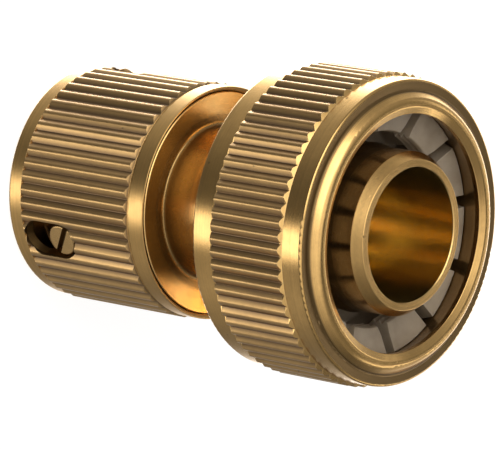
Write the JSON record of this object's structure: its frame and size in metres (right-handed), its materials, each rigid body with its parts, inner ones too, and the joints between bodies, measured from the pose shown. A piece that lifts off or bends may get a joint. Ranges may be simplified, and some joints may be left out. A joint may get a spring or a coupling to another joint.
{
  "type": "hose quick connector",
  "caption": "Brass garden hose quick connector: spring-loaded knurled release sleeve and socket at one end, knurled clamp nut with plastic collet over a hose spigot at the other.",
  "frame": {"origin": "centre of the socket mouth, on the coupling axis, in the plane of the release sleeve's front edge", "axes": "+Z along the coupling axis from the socket mouth to the hose end; +X across, close to the middle of the first locking pin"},
  "size_m": [0.0364, 0.0364, 0.05],
  "materials": {
    "body_brass": "fine turned brass, bright",
    "sleeve_brass": "straight knurled brass with turned bands",
    "nut_brass": "straight knurled brass with turned bands",
    "screw_brass": "satin brass",
    "pin_steel": "ground stainless steel",
    "spring_steel": "drawn stainless wire",
    "seal_rubber": "matt black rubber",
    "collet_nylon": "natural translucent nylon"
  },
  "bodies": {
    "coupling_body": {"main_body": "body_brass", "socket_seal": "seal_rubber", "guide_screw_1": "screw_brass", "guide_screw_2": "screw_brass", "guide_screw_3": "screw_brass", "return_spring": "spring_steel"},
    "sleeve": {"release_sleeve": "sleeve_brass", "front_ring": "sleeve_brass"},
    "pin_1": {"locking_pin_1": "pin_steel"},
    "pin_2": {"locking_pin_2": "pin_steel"},
    "pin_3": {"locking_pin_3": "pin_steel"},
    "collet": {"hose_collet": "collet_nylon"},
    "nut": {"clamp_nut": "nut_brass"}
  },
  "joints": [
    {"name": "sleeve_slide", "type": "slide", "parent": "coupling_body", "child": "sleeve", "axis": [0, 0, 1], "range_m": [0, 0.0035], "stiffness_N_per_m": 2500, "springref_m": -0.004, "deforming": ["return_spring"]},
    {"name": "pin_1_slide", "type": "slide", "parent": "coupling_body", "child": "pin_1", "axis": [0.3709, 0.0194, 0.9285], "range_m": [0, 0.00381]},
    {"name": "pin_2_slide", "type": "slide", "parent": "coupling_body", "child": "pin_2", "axis": [-0.2023, 0.3115, 0.9285], "range_m": [0, 0.00381]},
    {"name": "pin_3_slide", "type": "slide", "parent": "coupling_body", "child": "pin_3", "axis": [-0.1686, -0.3309, 0.9285], "range_m": [0, 0.00381]},
    {"name": "collet_slide", "type": "slide", "parent": "coupling_body", "child": "collet", "axis": [0, 0, 1], "range_m": [0, 0.0061]},
    {"name": "nut_turn", "type": "hinge", "parent": "collet", "child": "nut", "pos_m": [0, 0, 0.04], "axis": [0, 0, 1], "range_deg": [0, 1440]}
  ],
  "couplings": [
    {"joint": "pin_1_slide", "follows": "sleeve_slide", "ratio": 1.077},
    {"joint": "pin_2_slide", "follows": "sleeve_slide", "ratio": 1.077},
    {"joint": "pin_3_slide", "follows": "sleeve_slide", "ratio": 1.077},
    {"joint": "collet_slide", "follows": "nut_turn", "m_per_rad": 0.00023873}
  ]
}
